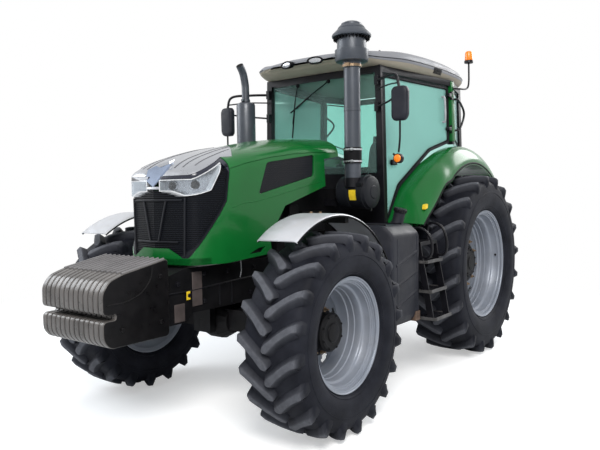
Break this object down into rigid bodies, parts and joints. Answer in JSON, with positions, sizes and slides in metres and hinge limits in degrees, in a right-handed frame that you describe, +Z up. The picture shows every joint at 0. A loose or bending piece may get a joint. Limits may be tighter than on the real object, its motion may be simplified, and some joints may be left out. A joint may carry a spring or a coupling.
{
  "type": "farm tractor",
  "caption": "Four-wheel-drive farm tractor with a glazed cab, steered front wheels, lifting hood, hinged doors, front weights and a rear three-point hitch.",
  "frame": {"origin": "on the ground, at the middle of the tractor's length and width", "axes": "+X to the tractor's left, +Y to its rear, +Z up"},
  "size_m": [2.556, 5.21, 3.2],
  "materials": {
    "green_paint": "gloss",
    "silver_paint": "gloss",
    "black_cast": "satin",
    "black_paint": "satin",
    "black_plastic": "matte",
    "grey_plastic": "matte",
    "tyre_rubber": "matte",
    "rim_silver": "satin",
    "roof_grey": "satin",
    "cab_glass": "gloss",
    "lamp_lens": "gloss",
    "seat_fabric": "matte",
    "amber_lens": "gloss"
  },
  "bodies": {
    "chassis": {"rear_fender_left": "green_paint", "rear_fender_right": "green_paint", "quarter_window_left": "cab_glass", "quarter_window_right": "cab_glass", "steps_left": "black_paint", "steps_right": "black_paint", "mirror_left": "black_plastic", "mirror_right": "black_plastic", "front_axle": "black_cast", "front_bolster": "black_cast", "front_weights": "black_cast", "engine_block": "black_cast", "hood_frame": "black_paint", "transmission": "black_cast", "rear_axle": "black_cast", "air_cleaner": "black_plastic", "snorkel": "grey_plastic", "exhaust": "black_paint", "cab_frame": "black_paint", "windscreen": "cab_glass", "rear_window": "cab_glass", "roof": "roof_grey", "seat": "seat_fabric", "steering_column": "black_plastic", "dashboard": "black_plastic", "fuel_tank": "grey_plastic", "tool_box": "grey_plastic", "beacon": "amber_lens", "top_link": "black_cast", "drawbar": "black_cast"},
    "knuckle_left": {"knuckle_left": "black_cast", "front_fender_left": "silver_paint"},
    "knuckle_right": {"knuckle_right": "black_cast", "front_fender_right": "silver_paint"},
    "front_wheel_left": {"front_tyre_left": "tyre_rubber", "front_rim_left": "rim_silver"},
    "front_wheel_right": {"front_tyre_right": "tyre_rubber", "front_rim_right": "rim_silver"},
    "rear_wheel_left": {"rear_tyre_left": "tyre_rubber", "rear_rim_left": "rim_silver"},
    "rear_wheel_right": {"rear_tyre_right": "tyre_rubber", "rear_rim_right": "rim_silver"},
    "door_left": {"door_left": "black_paint", "door_glass_left": "cab_glass"},
    "door_right": {"door_right": "black_paint", "door_glass_right": "cab_glass"},
    "hood": {"hood": "green_paint", "hood_front_panel": "silver_paint", "grille": "black_plastic", "headlight_left": "lamp_lens", "headlight_right": "lamp_lens", "hood_mesh_left": "black_plastic", "hood_mesh_right": "black_plastic"},
    "lower_links": {"lower_link_left": "black_cast", "lower_link_right": "black_cast"},
    "lift_arms": {"lift_arms": "black_cast"},
    "lift_rods": {"lift_rod_left": "black_cast", "lift_rod_right": "black_cast"}
  },
  "joints": [
    {"name": "steer_left", "type": "hinge", "parent": "chassis", "child": "knuckle_left", "pos_m": [0.8, -1.255, 0.7125], "axis": [0, 0, 1], "range_deg": [-40, 40]},
    {"name": "steer_right", "type": "hinge", "parent": "chassis", "child": "knuckle_right", "pos_m": [-0.8, -1.255, 0.7125], "axis": [0, 0, 1], "range_deg": [-40, 40]},
    {"name": "front_spin_left", "type": "hinge", "parent": "knuckle_left", "child": "front_wheel_left", "pos_m": [1.038, -1.255, 0.71249], "axis": [1, 0, 0], "continuous": true},
    {"name": "front_spin_right", "type": "hinge", "parent": "knuckle_right", "child": "front_wheel_right", "pos_m": [-1.038, -1.255, 0.71249], "axis": [1, 0, 0], "continuous": true},
    {"name": "rear_spin_left", "type": "hinge", "parent": "chassis", "child": "rear_wheel_left", "pos_m": [0.921, 1.545, 0.93409], "axis": [1, 0, 0], "continuous": true},
    {"name": "rear_spin_right", "type": "hinge", "parent": "chassis", "child": "rear_wheel_right", "pos_m": [-0.921, 1.545, 0.93409], "axis": [1, 0, 0], "continuous": true},
    {"name": "door_left_swing", "type": "hinge", "parent": "chassis", "child": "door_left", "pos_m": [0.8412, 1.385, 2.5], "axis": [0, 0, 1], "range_deg": [0, 75]},
    {"name": "door_right_swing", "type": "hinge", "parent": "chassis", "child": "door_right", "pos_m": [-0.8412, 1.385, 2.5], "axis": [0, 0, -1], "range_deg": [0, 75]},
    {"name": "hood_lift", "type": "hinge", "parent": "chassis", "child": "hood", "pos_m": [0, -0.225, 2.105], "axis": [-1, 0, 0], "range_deg": [0, 50]},
    {"name": "hitch_lift", "type": "hinge", "parent": "chassis", "child": "lower_links", "pos_m": [0, 1.855, 0.62], "axis": [1, 0, 0], "range_deg": [-12, 20]},
    {"name": "lift_arm_turn", "type": "hinge", "parent": "chassis", "child": "lift_arms", "pos_m": [0, 1.855, 1.13], "axis": [1, 0, 0], "range_deg": [-12, 20]},
    {"name": "lift_rod_turn", "type": "hinge", "parent": "lift_arms", "child": "lift_rods", "pos_m": [0, 2.225, 1.13], "axis": [1, 0, 0], "range_deg": [-20, 12]}
  ],
  "couplings": [
    {"joint": "steer_right", "follows": "steer_left", "ratio": 1},
    {"joint": "lift_arm_turn", "follows": "hitch_lift", "ratio": 1},
    {"joint": "lift_rod_turn", "follows": "hitch_lift", "ratio": -1}
  ]
}
